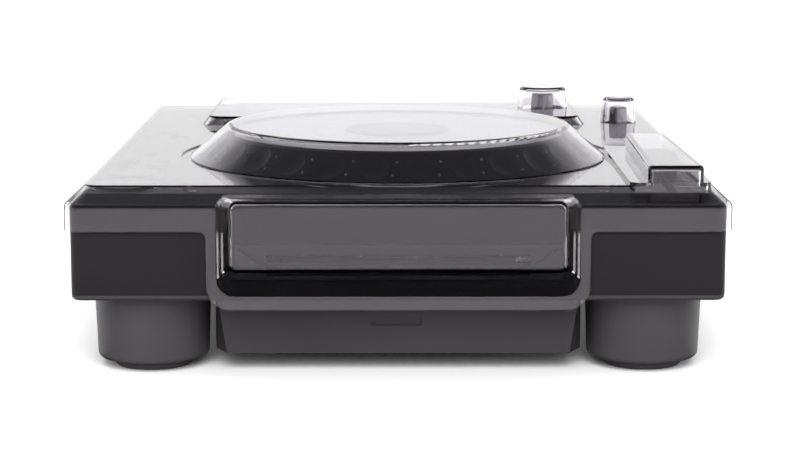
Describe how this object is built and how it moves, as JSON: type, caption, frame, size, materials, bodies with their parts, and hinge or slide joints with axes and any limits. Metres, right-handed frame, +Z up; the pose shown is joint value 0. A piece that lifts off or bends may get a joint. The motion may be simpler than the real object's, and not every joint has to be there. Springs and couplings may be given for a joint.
{
  "type": "tabletop dj cd player",
  "caption": "Tabletop disc player with a dimpled jog wheel, tempo slider, display hood and front disc slot, under a clear lift-off dust cover.",
  "frame": {"origin": "under the middle of the whole object, on the table", "axes": "+X to the right, +Y to the back, +Z up"},
  "size_m": [0.3106, 0.4056, 0.1073],
  "materials": {
    "clear_cover": "clear, polished",
    "case_black": "fine matt",
    "deck_black": "fine matt",
    "hood_black": "satin",
    "window": "smooth, dark",
    "screen": "smooth",
    "foot_grey": "satin",
    "pad_rubber": "matt",
    "screw_black": "satin",
    "jog_black": "satin",
    "jog_metal": "turned",
    "jog_screen": "glossy",
    "gear_plastic": "plain",
    "inner_plastic": "plain",
    "bearing_steel": "ground",
    "knob_black": "satin",
    "port_metal": "plated",
    "socket_black": "plain",
    "board_green": "solder mask",
    "frame_steel": "zinc plated sheet",
    "damper_rubber": "matt",
    "motor_steel": "plated",
    "turntable_black": "plain",
    "pickup_metal": "cast",
    "roller_rubber": "matt",
    "button_black": "satin",
    "play_clear": "translucent, green",
    "cue_clear": "translucent, amber"
  },
  "bodies": {
    "root": {"base_pan": "case_black", "case_screws": "screw_black", "case_shell": "case_black", "control_boards": "board_green", "deck_panel": "deck_black", "display_hood": "hood_black", "display_panel": "screen", "display_window": "window", "drive_dampers": "damper_rubber", "drive_frame": "frame_steel", "drive_motors": "motor_steel", "encoder_sensor": "inner_plastic", "feet": "foot_grey", "foot_pads": "pad_rubber", "guide_rods": "bearing_steel", "jog_bearing": "bearing_steel", "jog_display": "jog_screen", "jog_hub": "inner_plastic", "main_board": "board_green", "mains_inlet": "socket_black", "power_supply": "board_green", "rear_panel": "case_black", "rear_sockets": "port_metal", "slider_unit": "inner_plastic", "slot_bezel": "case_black", "spindle_motor": "motor_steel", "usb_port": "port_metal"},
    "cover": {"dust_cover": "clear_cover"},
    "jog": {"jog_ring": "jog_black", "jog_plate": "jog_metal", "jog_gear": "gear_plastic"},
    "encoder": {"encoder_gear": "gear_plastic"},
    "selector": {"selector_knob": "knob_black"},
    "speed": {"speed_knob": "knob_black"},
    "tempo": {"tempo_slider": "knob_black"},
    "reverse": {"reverse_lever": "knob_black"},
    "power": {"power_button": "button_black"},
    "platter": {"turntable": "turntable_black"},
    "sled": {"laser_pickup": "pickup_metal"},
    "screw": {"lead_screw": "bearing_steel"},
    "roller": {"loading_roller": "roller_rubber"},
    "clamp": {"clamp_arm": "inner_plastic"},
    "back_key": {"back_button": "button_black"},
    "browse_key": {"browse_button": "button_black"},
    "cue_key": {"cue_button": "cue_clear"},
    "eject_key": {"eject_button": "button_black"},
    "list_key": {"list_button": "button_black"},
    "loop_in_key": {"loop_in_button": "button_black"},
    "loop_out_key": {"loop_out_button": "button_black"},
    "menu_key": {"menu_button": "button_black"},
    "mode_key": {"mode_button": "button_black"},
    "play_key": {"play_button": "play_clear"},
    "reloop_key": {"reloop_button": "button_black"},
    "search_back_key": {"search_back_button": "button_black"},
    "search_next_key": {"search_next_button": "button_black"},
    "tempo_hold_key": {"tempo_hold_button": "button_black"},
    "tempo_range_key": {"tempo_range_button": "button_black"},
    "tempo_reset_key": {"tempo_reset_button": "button_black"},
    "track_back_key": {"track_back_button": "button_black"},
    "track_next_key": {"track_next_button": "button_black"}
  },
  "joints": [
    {"name": "cover_lift", "type": "slide", "parent": "root", "child": "cover", "axis": [0, 0, 1], "range_m": [0, 0.13]},
    {"name": "jog_spin", "type": "hinge", "parent": "root", "child": "jog", "pos_m": [0, -0.0558, 0.092], "axis": [0, 0, 1], "continuous": true},
    {"name": "encoder_spin", "type": "hinge", "parent": "root", "child": "encoder", "pos_m": [-0.05262, -0.07495, 0.092], "axis": [0, 0, 1], "continuous": true},
    {"name": "back_press", "type": "slide", "parent": "root", "child": "back_key", "axis": [0, 0, -1], "range_m": [0, 0.0008], "stiffness_N_per_m": 200, "springref_m": -0.001},
    {"name": "browse_press", "type": "slide", "parent": "root", "child": "browse_key", "axis": [0, 0, -1], "range_m": [0, 0.0008], "stiffness_N_per_m": 200, "springref_m": -0.001},
    {"name": "cue_press", "type": "slide", "parent": "root", "child": "cue_key", "axis": [0, 0, -1], "range_m": [0, 0.0008], "stiffness_N_per_m": 200, "springref_m": -0.001},
    {"name": "eject_press", "type": "slide", "parent": "root", "child": "eject_key", "axis": [0, 0, -1], "range_m": [0, 0.0008], "stiffness_N_per_m": 200, "springref_m": -0.001},
    {"name": "list_press", "type": "slide", "parent": "root", "child": "list_key", "axis": [0, 0, -1], "range_m": [0, 0.0008], "stiffness_N_per_m": 200, "springref_m": -0.001},
    {"name": "loop_in_press", "type": "slide", "parent": "root", "child": "loop_in_key", "axis": [0, 0, -1], "range_m": [0, 0.0008], "stiffness_N_per_m": 200, "springref_m": -0.001},
    {"name": "loop_out_press", "type": "slide", "parent": "root", "child": "loop_out_key", "axis": [0, 0, -1], "range_m": [0, 0.0008], "stiffness_N_per_m": 200, "springref_m": -0.001},
    {"name": "menu_press", "type": "slide", "parent": "root", "child": "menu_key", "axis": [0, 0, -1], "range_m": [0, 0.0008], "stiffness_N_per_m": 200, "springref_m": -0.001},
    {"name": "mode_press", "type": "slide", "parent": "root", "child": "mode_key", "axis": [0, 0, -1], "range_m": [0, 0.0008], "stiffness_N_per_m": 200, "springref_m": -0.001},
    {"name": "play_press", "type": "slide", "parent": "root", "child": "play_key", "axis": [0, 0, -1], "range_m": [0, 0.0008], "stiffness_N_per_m": 200, "springref_m": -0.001},
    {"name": "reloop_press", "type": "slide", "parent": "root", "child": "reloop_key", "axis": [0, 0, -1], "range_m": [0, 0.0008], "stiffness_N_per_m": 200, "springref_m": -0.001},
    {"name": "search_back_press", "type": "slide", "parent": "root", "child": "search_back_key", "axis": [0, 0, -1], "range_m": [0, 0.0008], "stiffness_N_per_m": 200, "springref_m": -0.001},
    {"name": "search_next_press", "type": "slide", "parent": "root", "child": "search_next_key", "axis": [0, 0, -1], "range_m": [0, 0.0008], "stiffness_N_per_m": 200, "springref_m": -0.001},
    {"name": "tempo_hold_press", "type": "slide", "parent": "root", "child": "tempo_hold_key", "axis": [0, 0, -1], "range_m": [0, 0.0008], "stiffness_N_per_m": 200, "springref_m": -0.001},
    {"name": "tempo_range_press", "type": "slide", "parent": "root", "child": "tempo_range_key", "axis": [0, 0, -1], "range_m": [0, 0.0008], "stiffness_N_per_m": 200, "springref_m": -0.001},
    {"name": "tempo_reset_press", "type": "slide", "parent": "root", "child": "tempo_reset_key", "axis": [0, 0, -1], "range_m": [0, 0.0008], "stiffness_N_per_m": 200, "springref_m": -0.001},
    {"name": "track_back_press", "type": "slide", "parent": "root", "child": "track_back_key", "axis": [0, 0, -1], "range_m": [0, 0.0008], "stiffness_N_per_m": 200, "springref_m": -0.001},
    {"name": "track_next_press", "type": "slide", "parent": "root", "child": "track_next_key", "axis": [0, 0, -1], "range_m": [0, 0.0008], "stiffness_N_per_m": 200, "springref_m": -0.001},
    {"name": "selector_turn", "type": "hinge", "parent": "root", "child": "selector", "pos_m": [0.0874, 0.126, 0.095], "axis": [0, 0, 1], "continuous": true},
    {"name": "speed_turn", "type": "hinge", "parent": "root", "child": "speed", "pos_m": [0.1292, 0.0885, 0.09], "axis": [0, 0, 1], "range_deg": [-140, 140]},
    {"name": "tempo_slide", "type": "slide", "parent": "root", "child": "tempo", "axis": [0, 1, 0], "range_m": [-0.05, 0.05]},
    {"name": "reverse_tilt", "type": "hinge", "parent": "root", "child": "reverse", "pos_m": [-0.13, -0.039, 0.0792], "axis": [1, 0, 0], "range_deg": [-12, 12]},
    {"name": "power_press", "type": "slide", "parent": "root", "child": "power", "axis": [0, -1, 0], "range_m": [0, 0.0025], "stiffness_N_per_m": 300, "springref_m": -0.001},
    {"name": "disc_spin", "type": "hinge", "parent": "root", "child": "platter", "pos_m": [0, -0.089, 0.052], "axis": [0, 0, 1], "continuous": true},
    {"name": "sled_slide", "type": "slide", "parent": "root", "child": "sled", "axis": [0, 1, 0], "range_m": [0, 0.034]},
    {"name": "screw_spin", "type": "hinge", "parent": "root", "child": "screw", "pos_m": [0.027, -0.043, 0.0506], "axis": [0, 1, 0], "range_deg": [-5, 2050]},
    {"name": "roller_spin", "type": "hinge", "parent": "root", "child": "roller", "pos_m": [0, -0.169, 0.0509], "axis": [1, 0, 0], "continuous": true},
    {"name": "clamp_tilt", "type": "hinge", "parent": "root", "child": "clamp", "pos_m": [0, 0.001, 0.066], "axis": [-1, 0, 0], "range_deg": [0, 6]}
  ],
  "couplings": [
    {"joint": "encoder_spin", "follows": "jog_spin", "ratio": -6},
    {"joint": "screw_spin", "follows": "sled_slide", "rad_per_m": 1047.2}
  ]
}
